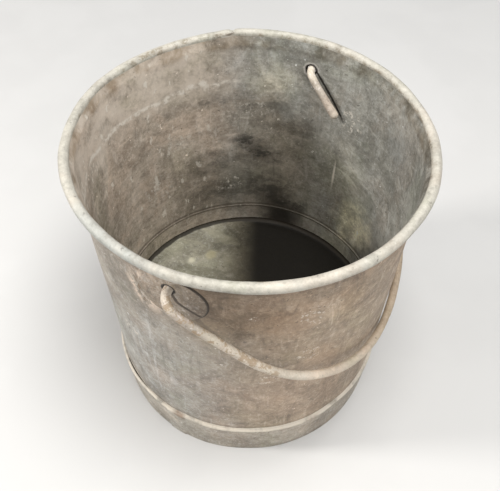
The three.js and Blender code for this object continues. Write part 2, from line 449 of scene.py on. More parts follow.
def aged_zinc(surface, dark, light, specks=1.0, streaks=1.0, wipe=1.0, mottled=1.0):
    """The patina that every galvanised piece shares: clouds, crystals, runs, pits and scratches."""
    surface.lay(dark)
    clouds = surface.noise(22, 8, 0.72, twist=0.6)
    surface.lay(light, surface.between(clouds, 0.38, 0.60))
    wisps = surface.noise(38, 8, 0.75, stretch=(1, 1, 2.6), twist=0.5)
    surface.lay(tuple(1.45 * c for c in light), surface.between(wisps, 0.51, 0.66, 0.60 * wipe))
    surface.lay(tuple(0.50 * c for c in dark), surface.between(wisps, 0.47, 0.31, 0.70 * wipe))
    hue = surface.noise(19, 4, 0.6, twist=0.5)
    surface.tint((1.04, 0.995, 0.97), surface.between(hue, 0.50, 0.62))
    surface.tint((0.955, 0.975, 0.94), surface.between(hue, 0.48, 0.37))
    mottle = surface.noise(95, 8, 0.78, twist=0.3)
    surface.lay((0.86, 0.83, 0.78), surface.between(mottle, 0.50, 0.67, 0.40 * mottled))
    surface.lay((0.05, 0.045, 0.035), surface.between(mottle, 0.49, 0.33, 0.55 * mottled))
    grain = surface.noise(420, 6, 0.8)
    surface.lay((0.92, 0.90, 0.86), surface.between(grain, 0.51, 0.68, 0.40 * mottled))
    surface.lay((0.05, 0.045, 0.04), surface.between(grain, 0.48, 0.33, 0.48 * mottled))
    crystals = surface.spangle(240)
    surface.lay((0.05, 0.055, 0.06), surface.between(crystals, 0.55, 1.0, 0.08))
    runs = surface.noise(70, 7, 0.72, stretch=(1, 1, 0.22), twist=0.9)
    surface.lay((0.82, 0.80, 0.76), surface.between(runs, 0.54, 0.70, 0.30 * streaks))
    surface.lay((0.07, 0.06, 0.05), surface.between(runs, 0.45, 0.30, 0.38 * streaks))
    blots = surface.noise(34, 7, 0.72, twist=1.4)
    surface.lay((0.11, 0.10, 0.08), surface.between(blots, 0.57, 0.69, 0.36 * wipe))
    for turn, scale in (((0.9, 0.5, 0.2), 210), ((-0.7, 0.9, 0.4), 235), ((0.2, -1.1, 1.2), 220)):
        scratch = surface.noise(scale, 3, 0.6, stretch=(1, 1, 0.13), turn=turn)
        line = surface.between(scratch, 0.66, 0.73)
        surface.lay((0.85, 0.83, 0.80), line, 0.20 * wipe)
        surface.raise_by(line, -0.08)
    flecks = surface.noise(190, 4, 0.65)
    surface.lay((0.88, 0.85, 0.80), surface.between(flecks, 0.675, 0.72, 0.75 * specks))
    pits = surface.noise(330, 3, 0.5)
    pit = surface.between(pits, 0.33, 0.27)
    surface.lay((0.07, 0.06, 0.05), pit, 0.55)
    surface.raise_by(mottle, 0.60)
    surface.raise_by(grain, 0.18)
    surface.raise_by(pit, -0.30)
    rough = surface.between(mottle, 0.3, 0.7)
    rough = surface.maths("ADD", surface.both(rough, 0.16), 0.54)
    surface.join(rough, surface.shader.inputs["Roughness"])


def from_point(surface, x, height, half_width, half_height):
    """How far out from a point of the walls at the Y axis's ends, 1 being the half sizes."""
    across = surface.maths("DIVIDE", surface.minus(surface.x, x), half_width)
    up = surface.maths("DIVIDE", surface.minus(surface.height, height), half_height)
    return surface.length(across, up)


def round_the_ears(surface):
    """How far out from an ear plate's middle a point is, 1 being the plate's edge."""
    return from_point(surface, *plate_oval(-1))


def stroke(surface, start, end, half_width):
    """A ragged line from one (x, height) point to another, on the walls at the Y axis's ends."""
    run = math.dist(start, end)
    step_x, step_z = (end[0] - start[0]) / run, (end[1] - start[1]) / run
    x = surface.minus(surface.x, start[0])
    z = surface.minus(surface.height, start[1])
    along = surface.maths("ADD", surface.both(x, step_x), surface.both(z, step_z))
    beside = surface.minus(surface.both(x, step_z), surface.both(z, step_x))
    beside = surface.wavering(surface.maths("ABSOLUTE", beside), 160, 1.5 * half_width)
    ends = surface.band(along, -half_width, half_width, 0.8 * run, run)
    return surface.both(ends, surface.between(beside, half_width, 0.5 * half_width))


def spot(surface, x, y, size):
    """A ragged spot on the bottom, at a place and of a half size."""
    along = surface.minus(surface.facing(0, size), x / size)
    across = surface.minus(surface.facing(90, size), y / size)
    return surface.ragged(surface.length(along, across), 130, 1.2, 1.0, 0.2)


def grime_at_holes(surface, reach):
    """Black grime round both bail holes, as wide as reach."""
    away = surface.wavering(from_point(surface, 0, HINGE_Z, reach, reach), 300, 0.35)
    surface.lay((0.015, 0.012, 0.010), surface.between(away, 1.0, 0.8, 0.95))


def outside_zinc():
    surface = Surface("outside_zinc", 0.62, 0.2)
    aged_zinc(surface, (0.25, 0.215, 0.175), (0.36, 0.315, 0.26), wipe=0.65, mottled=0.6)
    # Cooler and paler to the left of the bail, browner under the rim to its right.
    cool = surface.ragged(surface.facing(228), 18, 0.8, 0.30, 0.95)
    low = surface.ragged(surface.height, 16, 0.10, 0.215, 0.10)
    surface.tint((1.02, 1.10, 1.18), cool, low)
    brown = surface.patch(287, 0.205, 0.070, 0.055, 1.2, 24, 0.2)
    surface.tint((0.72, 0.63, 0.54), brown, 0.9)
    pink = surface.patch(296, 0.085, 0.080, 0.060, 1.2, 24, 0.2)
    surface.tint((1.08, 1.04, 1.04), pink, 0.8)
    surface.tint((1.25, 1.20, 1.12), surface.patch(327, 0.198, 0.020, 0.034, 1.1, 40, 0.1))
    warm = surface.ragged(surface.facing(340), 14, 0.7, 0.3, 0.95)
    surface.tint((1.12, 1.00, 0.88), warm)
    surface.tint((0.78, 0.77, 0.75), surface.patch(247, 0.184, 0.022, 0.026, 1.0, 40, 0.1))
    surface.tint((1.16, 1.12, 1.10), surface.patch(258, 0.080, 0.026, 0.026, 1.0, 40, 0.1))
    # Painted shade under the rolled rim: the wall darkens towards it, and a dark painted shadow
    # line lies just below the bead.
    edge = surface.ragged(surface.height, 50, 0.02, 0.212, 0.236, 0.45)
    surface.tint((0.50, 0.42, 0.34), edge)
    line = surface.ragged(surface.height, 90, 0.005, 0.2300, 0.2350, 0.7)
    surface.lay((0.06, 0.045, 0.035), line)
    foot = surface.ragged(surface.height, 90, 0.006, *around(HOOP_TOP, 5, 2), 0.3)
    surface.lay((0.10, 0.07, 0.045), foot)
    # Clusters of white lime spots.
    spots = surface.between(surface.noise(330, 4, 0.7), 0.55, 0.61, 0.85)
    for mark in LIME_SPOTS:
        surface.lay((0.72, 0.66, 0.58), surface.patch(*mark, 1.0, 90), spots)
    # Wiped solder and rust to the left of the plates, a painted shadow line round their right
    # edges, and below them grime and a painted shadow along the bail wire.
    wiped = surface.patch(260, 0.205, 0.017, 0.027, 1.1, 70, 0.4)
    tones = surface.noise(120, 7, 0.78, stretch=(1, 1, 0.6), turn=(0, 0.6, 0))
    surface.lay((0.70, 0.57, 0.46), wiped, surface.between(tones, 0.46, 0.55, 0.90))
    surface.lay((0.17, 0.11, 0.06), wiped, surface.between(tones, 0.45, 0.38, 0.90))
    right = surface.between(surface.x, -6 * MM, 6 * MM, 0.92)
    ring = surface.between(round_the_ears(surface), 1.035, 1.015)
    surface.lay((0.025, 0.018, 0.014), ring, right)
    # Grime and a painted shadow beside the bail wire, on the wall below the plate.
    grime_and_wire_shadow = stroke(surface, (12 * MM, 0.201), (30 * MM, 0.178), 3 * MM)
    surface.lay((0.09, 0.065, 0.045), grime_and_wire_shadow, 0.35)
    return surface.finish()


def inside_zinc():
    surface = Surface("inside_zinc", 0.66, 0.08)
    aged_zinc(surface, (0.27, 0.25, 0.215), (0.45, 0.42, 0.37), specks=1.4, wipe=0.75, mottled=0.7)
    # The two halves of the sheet weathered apart: warm on one side of the seam, and dull on
    # the other, turning blue towards the top and away from the seam.
    across = surface.wavering(surface.facing(SEAM_ANGLE + 90), 26, 0.30)
    surface.tint((1.14, 1.04, 0.96), surface.between(across, -0.15, 0.30))
    surface.tint((0.80, 0.76, 0.69), surface.between(across, 0.10, -0.35))
    low = surface.ragged(surface.height, 20, 0.04, 0.200, 0.150, 0.42)
    blue = surface.between(surface.maths("ADD", across, low), 0.10, -0.35)
    surface.tint((0.93, 1.03, 1.15), blue)
    surface.tint((1.60, 1.50, 1.38), surface.patch(105, 0.205, 0.030, 0.026, 1.3, 40, 0.1))
    surface.tint((0.60, 0.61, 0.59), surface.patch(122, 0.085, 0.080, 0.060, 1.0, 26, 0.1))
    # An old water line, with paler metal above it.
    level = surface.wavering(surface.height, 26, 0.030)
    paler = surface.between(level, 0.182, 0.212)
    cloud = surface.between(surface.noise(46, 7, 0.72), 0.34, 0.58)
    shown = surface.between(across, -0.3, 0.4, 0.72)
    surface.lay((0.68, 0.595, 0.505), paler, shown, cloud)
    level = surface.wavering(surface.height, 34, 0.018)
    line = surface.band(level, *around(WATER_LINE, -3.5, -0.5, 0.5, 3.5))
    broken = surface.between(surface.noise(120, 6, 0.75), 0.44, 0.56)
    shown = surface.between(across, -0.3, 0.2, 0.7)
    surface.lay((0.82, 0.77, 0.69), line, shown, broken)
    chips = surface.between(surface.noise(150, 3, 0.6, stretch=(1, 1, 0.5)), 0.63, 0.69)
    surface.lay((0.74, 0.69, 0.61), chips, surface.between(across, -0.1, 0.4, 0.75))
    # Dirt that gathers under the rolled rim.
    collar = surface.ragged(surface.height, 60, 0.012, 0.2330, 0.2410)
    dirt = surface.between(surface.noise(60, 5, 0.62, twist=0.4), 0.34, 0.68)
    surface.tint((0.52, 0.46, 0.38), collar, dirt, 0.9)
    # Dark patches: the near-black bottom's reach up the wall, and looser blotches above it.
    blotch = surface.between(surface.noise(60, 7, 0.75, stretch=(1, 1, 1.7)), 0.45, 0.57)
    for *mark, strength in INSIDE_DARK_PATCHES:
        dark_patch = surface.patch(*mark, 1.1, 50, 0.1)
        surface.lay((0.045, 0.042, 0.035), dark_patch, blotch, strength)
        surface.lay((0.055, 0.05, 0.042), dark_patch, 0.45 * strength)
    black = surface.patch(98, 0.050, 0.040, 0.042, 0.9, 34, 0.05)
    surface.lay((0.014, 0.012, 0.009), black, 0.95)
    # A lime run on the far side, with paler metal low down and a duller patch high up.
    run = surface.patch(73.5, 0.125, 0.0018, 0.022, 0.7, 120, 0.2)
    surface.lay((0.70, 0.67, 0.62), run, 0.7)
    surface.tint((2.9, 2.8, 2.4), surface.patch(56, 0.086, 0.032, 0.036, 1.2, 60, 0.1))
    surface.tint((1.25, 1.22, 1.14), surface.patch(68, 0.125, 0.034, 0.050, 1.1, 40, 0.1))
    surface.tint((0.80, 0.81, 0.83), surface.patch(41, 0.206, 0.030, 0.030, 1.1, 40, 0.1))
    surface.tint((1.75, 1.72, 1.58), surface.patch(64, 0.050, 0.034, 0.030, 1.0, 40, 0.1))
    speckle = surface.between(surface.noise(260, 4, 0.7), 0.53, 0.61, 0.75)
    for mark in LIME_INSIDE:
        surface.lay((0.66, 0.62, 0.55), surface.patch(*mark, 1.0, 70), speckle)
    # Dirt in the joint between the bottom's flange and the wall, and painted shade dulling the
    # solder's lit top.
    joint = surface.ragged(surface.height, 70, 0.004, *around(FLANGE_TOP, 4.5, 1), 0.5)
    bare = surface.between(surface.height, *around(FLANGE_TOP, -2.5, -1))
    surface.lay((0.08, 0.07, 0.055), joint, bare)
    # Painted shade over the solder ring, where its top catches the light.
    seam = surface.band(surface.height, *around(FLANGE_TOP, -2.5, -1.5, 1.7, 2.7))
    surface.tint((0.74, 0.72, 0.69), seam)
    # A pale ring round the holes, a painted highlight on their worn lip, grime round them, and a
    # black painted shadow with grime beside the far tail.
    lip_highlight = surface.wavering(from_point(surface, 0, HINGE_Z, 7.4 * MM, 7.4 * MM), 300, 0.6)
    surface.lay((0.60, 0.57, 0.53), surface.between(lip_highlight, 1.0, 0.85, 0.4))
    grime_at_holes(surface, 6 * MM)
    # Grime and a black painted shadow beside the far tail.
    grime_and_wire_shadow = stroke(surface, (4 * MM, 0.224), (36 * MM, 0.1835), 1.3 * MM)
    surface.lay((0.012, 0.009, 0.007), grime_and_wire_shadow, 0.95)
    return surface.finish()


def rim_zinc():
    surface = Surface("rim_zinc", 0.62, 0.12)
    dark, light = (0.36, 0.34, 0.29), (0.46, 0.435, 0.375)
    aged_zinc(surface, dark, light, specks=0.3, streaks=0.1, wipe=0.35, mottled=0.45)
    worn = surface.noise(150, 6, 0.7)
    surface.lay((0.52, 0.495, 0.43), surface.between(worn, 0.42, 0.64, 0.5))
    surface.lay((0.20, 0.17, 0.13), surface.between(surface.noise(80, 5, 0.65), 0.62, 0.74, 0.5))
    inner = surface.wavering(surface.radius(), 120, 0.003)
    inner = surface.between(inner, BEAD_RADIUS - 2.0 * MM, BEAD_RADIUS - 3.6 * MM)
    grime = surface.between(surface.noise(90, 8, 0.78), 0.44, 0.62)
    surface.tint((0.46, 0.40, 0.32), inner, grime, 0.9)
    # Painted shade on the rim's front left, toning down the key light's highlight there.
    shade = surface.ragged(surface.facing(250, 0.13), 18, 0.2, 0.88, 1.0)
    surface.tint((0.80, 0.85, 0.90), shade)
    # The fold where the rim's ends meet, painted pale as a highlight, and the split and the pit
    # there.
    fold_highlight = surface.patch(SEAM_ANGLE + 2, 0.2435, 0.009, 0.004, 0.9, 160, 0.3)
    surface.lay((0.62, 0.54, 0.47), fold_highlight, 0.7)
    split = surface.patch(SEAM_ANGLE + 1.5, 0.2478, 0.007, 0.0011, 0.7, 160, 0.2)
    surface.lay((0.12, 0.09, 0.065), split, 0.8)
    pit = surface.patch(SEAM_ANGLE - 2.5, 0.2435, 0.0016, 0.0012, 0.3, 160, 0.3)
    surface.lay((0.12, 0.11, 0.09), pit, 0.7)
    # Painted shade on the underside of the rolled rim.
    under = surface.ragged(surface.height, 80, 0.001, 0.2440, 0.2428, 0.8)
    outer = surface.between(surface.radius(), BEAD_RADIUS - 1 * MM, BEAD_RADIUS + 1 * MM)
    surface.lay((0.08, 0.06, 0.045), under, outer)
    return surface.finish()


def bottom_zinc():
    surface = Surface("bottom_zinc", 0.75, 0.0)
    dark, light = (0.16, 0.15, 0.115), (0.28, 0.265, 0.205)
    aged_zinc(surface, dark, light, specks=0.5, streaks=0.0, wipe=0.6, mottled=0.45)
    rays = surface.noise(26, 7, 0.66, stretch=(1, 2.4, 1), turn=(0, 0, 0.9), twist=0.6)
    surface.lay((0.40, 0.38, 0.285), surface.between(rays, 0.50, 0.68, 0.42))
    surface.lay((0.12, 0.11, 0.08), surface.between(rays, 0.47, 0.34, 0.42))
    pale, yellow = spot(surface, -0.072, 0.029, 0.0045), spot(surface, -0.058, 0.043, 0.008)
    surface.lay((0.70, 0.66, 0.50), pale, 0.55)
    surface.lay((0.50, 0.45, 0.25), yellow, 0.35)
    # The half of the bottom on the -Y and +X side is near black, with a darker fringe before it.
    half = surface.wavering(surface.facing(DARK_HALF_ANGLE, 0.1), 22, 0.08)
    surface.tint((0.34, 0.32, 0.29), surface.between(half, -0.46, -0.06))
    surface.lay((0.0055, 0.0045, 0.003), surface.between(half, -0.20, 0.10, 0.985))
    surface.shader.inputs["Specular IOR Level"].default_value = 0.15
    radius = surface.wavering(surface.radius(), 70, 0.0026)
    joint = surface.between(radius, 0.1052, 0.1064)
    low = surface.between(surface.height, *around(FLOOR_Z, 5.5, 3))
    surface.lay((0.022, 0.018, 0.013), joint, low, 0.92)
    return surface.finish()


def hoop_zinc():
    surface = Surface("hoop_zinc", 0.6, 0.2)
    aged_zinc(surface, (0.30, 0.26, 0.21), (0.42, 0.37, 0.305), streaks=0.5, wipe=0.7, mottled=0.65)
    cool = surface.ragged(surface.facing(225), 20, 0.6, 0.4, 0.95)
    surface.tint((1.0, 1.06, 1.10), cool)
    # A painted highlight along the top of the rolled edge, broken by noise.
    edge = surface.ragged(surface.height, 120, 0.002, *around(HOOP_TOP, -2.7, -1.3))
    broken_highlight = surface.between(surface.noise(90, 5), 0.3, 0.55, 0.85)
    surface.lay((0.64, 0.58, 0.49), edge, broken_highlight)
    # Painted shade under the rolled edge.
    under = surface.band(surface.height, *around(HOOP_TOP, -6.0, -4.3, -3.7, -2.9))
    surface.lay((0.13, 0.10, 0.075), under, 0.5)
    marks = surface.noise(120, 6, 0.72)
    surface.lay((0.20, 0.16, 0.12), surface.between(marks, 0.57, 0.70, 0.40))
    rust = surface.patch(HOOP_LAP_ANGLE + 2, 0.034, 0.008, 0.006, 0.9, 160, 0.3)
    surface.lay((0.27, 0.19, 0.135), rust, 0.85)
    return surface.finish()


def ear_zinc():
    surface = Surface("ear_zinc", 0.62, 0.15)
    aged_zinc(surface, (0.175, 0.136, 0.10), (0.285, 0.228, 0.168), streaks=0.4, mottled=0.8)
    left = from_point(surface, -16 * MM, HINGE_Z - 6 * MM, 15 * MM, 26 * MM)
    wiped = surface.ragged(left, 60, 0.9, 1.0, 0.4)
    tones = surface.noise(120, 7, 0.78, stretch=(1, 1, 0.6), turn=(0, 0.6, 0))
    surface.lay((0.50, 0.41, 0.33), wiped, surface.between(tones, 0.46, 0.60, 0.8))
    # A painted shadow line along the plate's right edge, where it stands off the wall.
    edge = surface.between(round_the_ears(surface), 0.970, 0.992, 0.85)
    right = surface.between(left, 1.0, 1.4)
    surface.lay((0.030, 0.022, 0.016), edge, right)
    # Grime and a painted shadow beside the bail wire, from the hole down to the right.
    for start, end in (((1 * MM, 0.223), (5 * MM, 0.211)), ((4 * MM, 0.212), (23 * MM, 0.200))):
        grime_and_wire_shadow = stroke(surface, start, end, 1.7 * MM)
        surface.lay((0.035, 0.022, 0.012), grime_and_wire_shadow, 0.9)
    grime_at_holes(surface, 5.6 * MM)
    return surface.finish()


def bail_zinc():
    surface = Surface("bail_zinc", 0.55, 0.12)
    dark, light = (0.545, 0.485, 0.40), (0.635, 0.565, 0.47)
    aged_zinc(surface, dark, light, specks=0.3, streaks=0.0, wipe=0.4, mottled=0.35)
    worn = surface.noise(150, 7, 0.75)
    surface.lay((0.42, 0.35, 0.27), surface.between(worn, 0.50, 0.36, 0.55))
    rust = surface.noise(60, 6, 0.65)
    surface.lay((0.34, 0.25, 0.16), surface.between(rust, 0.62, 0.72, 0.55))
    # Browner along the bow, and duller and speckled at the tails.
    across = surface.wavering(surface.y, 30, 0.06)
    bow = surface.between(surface.x, 28 * MM, 42 * MM)
    surface.tint((0.74, 0.66, 0.58), surface.between(across, -0.11, 0.0), bow)
    tails = surface.ragged(surface.x, 30, 0.01, 32 * MM, 20 * MM)
    below = surface.between(surface.height, 0.221, 0.216)
    surface.tint((0.78, 0.77, 0.78), tails, below)
    bits = surface.noise(230, 5, 0.75)
    surface.lay((0.15, 0.125, 0.105), tails, surface.between(bits, 0.55, 0.64, 0.6))
    surface.lay((0.76, 0.70, 0.66), tails, surface.between(bits, 0.45, 0.37, 0.6))
    pins = surface.ragged(surface.y, 60, 0.03, -0.095, -0.118, 0.8)
    surface.lay((0.33, 0.235, 0.145), pins, surface.between(worn, 0.47, 0.56))
    return surface.finish()


def hidden_wire():
    surface = Surface("rim_wire_steel", 0.6, 0.6)
    aged_zinc(surface, (0.22, 0.20, 0.18), (0.36, 0.34, 0.31), streaks=0.0)
    return surface.finish()


# ---- The bucket's pieces ------------------------------------------------


def bead_swell(angle):
    """The rolled rim's thickness round the turn, with a pinch and a blob where its ends meet."""
    swell = 1 + 0.035 * np.sin(5 * angle + 0.7) + 0.025 * np.sin(13 * angle + 2.1)
    swell += 0.018 * np.sin(31 * angle)
    swell += 0.10 * hill(angle, SEAM_ANGLE + 3.2, 3.0) - 0.30 * hill(angle, SEAM_ANGLE, 1.3)
    return np.minimum(swell, 1.09)


def wall_and_rim(outer_metal, inner_metal):
    """The shell: a tapered sheet, seamed at the back, rolled outwards into the rim."""
    angles = full_turn()
    low_rows = np.linspace(FOOT, FLARE_Z, 64)
    inside = [(wall_inside(z), z) for z in low_rows]
    bead = [(math.radians(a), BEAD) for a in np.linspace(188, -152, 36)]
    bead += [(math.radians(a), BEAD - SHEET) for a in np.linspace(-152, 188, 24)]
    curl = [(BEAD_RADIUS + r * math.cos(a), BEAD_Z + r * math.sin(a)) for a, r in bead]
    outside = [(wall_outside(z), z) for z in low_rows[::-1]]
    radii, heights = outline_grid(inside + curl + outside, angles)

    first, last = len(inside), len(inside) + len(curl)
    swell = bead_swell(angles)[:, None]
    radii[:, first:last] = BEAD_RADIUS + (radii[:, first:last] - BEAD_RADIUS) * swell
    heights[:, first:last] = BEAD_Z + (heights[:, first:last] - BEAD_Z) * swell
    # The outside lap of the side seam.
    lap = ease(hill(angles, SEAM_ANGLE, 3.2), 0.25, 0.6)[:, None]
    seam_rows = ease(heights[:, last:], 0.038, 0.041) * ease(heights[:, last:], FLARE_Z, 0.238)
    radii[:, last:] += 0.9 * MM * lap * seam_rows
    radii[:, :first] -= 0.25 * MM * hill(angles, SEAM_ANGLE + 1.6, 2.2)[:, None]
    radii += warp(angles[:, None], heights)

    shell = turned("bucket_wall", radii, heights, angles)
    bore_holes(shell)
    shell.data.shade_smooth()
    shell.data.set_sharp_from_angle(angle=math.radians(40))

    def choose(middle, normal):
        outward = normal.x * middle.x + normal.y * middle.y > 0
        rim_starts = FLARE_Z + 2.2 * MM if outward else BEAD_Z - 2.8 * MM
        if middle.z > rim_starts:
            return 2
        return 0 if outward else 1

    paint_faces(shell, [outer_metal, inner_metal, rim_zinc()], choose)
    return shell


def wire_in_rim():
    angles = full_turn(240)
    section = np.radians(np.arange(0, 360, 30))
    sides = [(RIM_WIRE * math.cos(a), RIM_WIRE * math.sin(a)) for a in section]
    outline = [(BEAD_RADIUS + across, BEAD_Z + up) for across, up in sides]
    radii, heights = outline_grid(outline, angles)
    radii += warp(angles[:, None], heights)
    wire = turned("wire_in_rim", radii, heights, angles)
    wire.data.materials.append(hidden_wire())
    return wire


def hole_fill(piece):
    """Closes the small round openings left at the middle of a turned disc."""
    work = bmesh.new()
    work.from_mesh(piece.data)
    bmesh.ops.holes_fill(work, edges=[e for e in work.edges if e.is_boundary])
    work.to_mesh(piece.data)
    work.free()


def bottom(wall_metal):
    """The bottom: a slightly sprung disc whose flange turns up inside the wall."""
    angles = full_turn()

    def flange(z):
        return wall_inside(z) - GAP

    bend_z = FLOOR_Z + FLOOR_BEND
    centre = flange(bend_z) - FLOOR_BEND - SHEET / 2
    disc = np.concatenate([[0.4 * MM], np.linspace(4 * MM, centre - 4 * MM, 34)])
    top = [(r, FLOOR_Z) for r in disc]
    top += [(centre - 1.6 * MM, FLOOR_Z - 0.5 * MM), (centre - 0.4 * MM, FLOOR_Z - 0.1 * MM)]
    for a in np.radians(np.linspace(-80, 0, 6)):
        r = FLOOR_BEND - SHEET / 2
        top.append((centre + r * math.cos(a), bend_z + r * math.sin(a)))
    flange_z = np.linspace(bend_z + 1 * MM, PAN_TOP, 10)
    top += [(flange(z) - SHEET, z) for z in flange_z]
    under = [(flange(z), z) for z in flange_z[::-1]]
    under += [(flange(bend_z) - 1.2 * MM, FLOOR_Z - 0.2 * MM)]
    under += [(r, FLOOR_Z - SHEET) for r in (centre - 3 * MM, *disc[::-3])]
    radii, heights = outline_grid(top + under, angles)
    spring = np.clip(1 - (radii / centre) ** 2, 0, 1)
    ripple = 0.5 * np.cos(2 * angles - 1)[:, None] + 0.35 * np.cos(5 * angles)[:, None]
    heights += spring * (0.9 + ripple * radii / centre) * 0.9 * MM - 0.25 * MM * spring
    on_flange = ease(radii, centre - 2 * MM, centre + 1 * MM)
    radii += warp(angles[:, None], heights) * on_flange
    pan = turned("inset_bottom", radii, heights, angles)
    hole_fill(pan)

    def choose(middle, normal):
        return int(middle.z > bend_z)

    paint_faces(pan, [bottom_zinc(), wall_metal], choose)
    return pan


def solder_ring(name, height, low, high, thick, angles_on, material):
    """A wavy fillet of solder in the corner between the wall and a sheet's edge."""
    angles = full_turn()
    outline = [(0, -1), (1, -0.9), (0.75, -0.1), (0.35, 0.55), (0, 1)]
    radii, heights = outline_grid(outline, angles)
    fine = np.sin(57 * angles + 0.4 * np.sin(9 * angles))
    blobs = 0.5 + 0.3 * np.sin(23 * angles + 1) + 0.2 * fine
    amount = (low + (high - low) * np.clip(blobs, 0, 1)) * angles_on(angles)
    reach = radii * thick * (0.4 + 0.6 * amount[:, None] / high)
    heights = height + heights * amount[:, None]
    base = wall_inside(heights) if thick < 0 else wall_outside(heights)
    sink = -0.1 * MM if thick > 0 else 0.1 * MM
    radii = base + sink + reach + warp(angles[:, None], heights)
    ring = turned(name, radii, heights, angles, 60)
    ring.data.materials.append(material)
    return ring


def hoop_spring(angle):
    """How far the foot hoop's upper edge has sprung away from the wall."""
    return 0.8 * MM * hill(angle, SPRUNG_ANGLE, 24) + 0.3 * MM * hill(angle, SPRUNG_ANGLE + 20, 5)


def foot_band():
    """The foot hoop: a band with a rolled upper edge, sprung open on one side, its ends lapped."""
    angles = full_turn(720)
    roll_z = HOOP_TOP - HOOP_ROLL

    def inner(z):
        return wall_outside(z) + GAP

    rows = np.linspace(0, roll_z - HOOP_ROLL, 14)
    outline = [(inner(0) + 0.25 * MM, 0), (inner(0) + HOOP_THICKNESS - 0.2 * MM, 0)]
    outline += [(inner(z) + HOOP_THICKNESS, z) for z in np.append(0.4 * MM, rows[1:])]
    middle = inner(roll_z) + HOOP_THICKNESS / 2
    for a in np.radians(np.linspace(-50, 100, 11)):
        outline.append((middle + HOOP_ROLL * math.cos(a), roll_z + HOOP_ROLL * math.sin(a)))
    outline += [(inner(z), z) for z in np.append(HOOP_TOP - 0.3 * MM, rows[::-1])]
    radii, heights = outline_grid(outline, angles)
    up = ease(heights, 0.4 * HOOP_TOP, HOOP_TOP)
    radii += hoop_spring(angles)[:, None] * up
    lap = ease(hill(angles, HOOP_LAP_ANGLE, 5.5), 0.15, 0.3)[:, None]
    radii += 0.8 * MM * lap * (radii - inner(heights) > HOOP_THICKNESS / 2)
    heights += 0.35 * MM * (np.sin(3 * angles + 1) + 0.6 * np.sin(8 * angles))[:, None] * up
    radii += 0.2 * MM * (np.sin(9 * angles + 2) + 0.7 * np.sin(17 * angles))[:, None] * up
    radii += warp(angles[:, None], heights)
    heights = np.maximum(heights, 0)
    hoop = turned("foot_band", radii, heights, angles)
    hoop.data.materials.append(hoop_zinc())
    return hoop


def ear(side, name):
    """An oval plate round a bail hole, slightly crowned, its edge rounded."""
    centre_x, centre_z, half_width, half_height = plate_oval(side)
    turn = full_turn(120)
    edge_x = centre_x + half_width * np.cos(turn)
    edge_z = centre_z + half_height * np.sin(turn)
    hole_x, hole_z = PLATE_HOLE * np.cos(turn), HINGE_Z + PLATE_HOLE * np.sin(turn)
    share = [0, 0.02, 0.06, 0.15, 0.3, 0.5, 0.7, 0.85, 0.93, 0.97, 0.99, 1.0]
    lift = [0.75, 0.95, 1.05, 1.0, 1.05, 1.1, 1.05, 1.0, 0.95, 0.8, 0.55, 0.2]
    rings = [(s, 1.25 * MM * k) for s, k in zip(share, lift)]
    rings += [(s, 0.05 * MM) for s in (1.0, 0.6, 0.2, 0.0)]
    rows = []
    for s, out in rings:
        x = hole_x + (edge_x - hole_x) * s
        z = hole_z + (edge_z - hole_z) * s
        rows.append(on_wall(side, x, z, out))
    plate = closed_skin(name, np.array(rows), 50)
    plate.data.materials.append(ear_zinc())
    return plate


def ear_solder(side, name, metal):
    """The streak of solder along an ear plate's edge, heavy on one side and thin on the other."""
    centre_x, centre_z, half_width, half_height = plate_oval(side)
    turn = full_turn(200)
    heavy = ease(hill(turn, 205, 95), 0.0, 0.5)
    ragged = 0.7 + 0.3 * np.sin(17 * turn + 1.3 * np.sin(5 * turn)) + 0.2 * np.sin(41 * turn)
    reach = (0.5 + 4.2 * heavy * ragged) * MM
    section = [(-1.2 * MM, 0.9), (-0.2 * MM, 1.15), (0.25, 0.75), (0.6, 0.35), (1.0, 0.05)]
    section += [(1.0, -0.2), (-1.2 * MM, -0.2)]
    rows = []
    for along, out in section:
        grow = along if along < 0 else along * reach
        x = centre_x + (half_width + grow) * np.cos(turn)
        z = centre_z + (half_height + grow) * np.sin(turn)
        z = np.minimum(z, FLARE_Z - 1 * MM)
        thick = (0.35 + 0.65 * heavy) if out > 0 else 1.0
        rows.append(on_wall(side, x, z, out * MM * thick))
    seam = closed_skin(name, np.array(rows), 60)
    seam.data.materials.append(metal)
    return seam


# ---- The bail -----------------------------------------------------------


def bail_half(side):
    """Points on one half of the bail, from the tail's end to the middle of the bow."""
    points = []
    span = TAIL_SPANS[side]

    def add(across, away, tilt):
        a = math.radians(tilt)
        points.append((away * math.sin(a), side * across, HINGE_Z - away * math.cos(a)))

    for share in (1.0, 0.75, 0.5, 0.3):
        add(span - TAIL_LEAN * share, TAIL_LENGTH * share, TAIL_TILT)
    for a in np.radians(np.linspace(0, 90, 9)):
        add(span + HOOK * (1 - math.cos(a)), HOOK * (1 - math.sin(a)), TAIL_TILT)
    leg = math.sqrt(BAIL_REACH**2 - SHOULDER**2)
    for a in np.radians(np.linspace(0, 90, 10)):
        add(leg - SHOULDER * (1 - math.sin(a)), SHOULDER * (1 - math.cos(a)), BAIL_TILT)
    for a in np.radians(np.linspace(5, BAIL_SLOPE, 7)):
        add(BAIL_REACH * math.cos(a), BAIL_REACH * math.sin(a), BAIL_TILT)
    slope = math.radians(BAIL_SLOPE)
    extra = BAIL_REACH - BOW_RADIUS
    bow_centre = extra * math.sin(slope) + extra * math.cos(slope) / math.tan(slope)
    for a in np.radians(np.linspace(BAIL_SLOPE, 90, 30)):
        add(BOW_RADIUS * math.cos(a), bow_centre + BOW_RADIUS * math.sin(a), BAIL_TILT)
    return points


def even_line(points, spacing):
    """The same line with its points an even distance apart, and its kinks eased."""
    line = np.array(points)
    for _ in range(2):
        run = np.concatenate([[0], np.cumsum(np.linalg.norm(np.diff(line, axis=0), axis=1))])
        places = np.linspace(0, run[-1], int(run[-1] / spacing))
        line = np.stack([np.interp(places, run, line[:, i]) for i in range(3)], -1)
        line[1:-1] = (line[:-2] + 2 * line[1:-1] + line[2:]) / 4
    return line


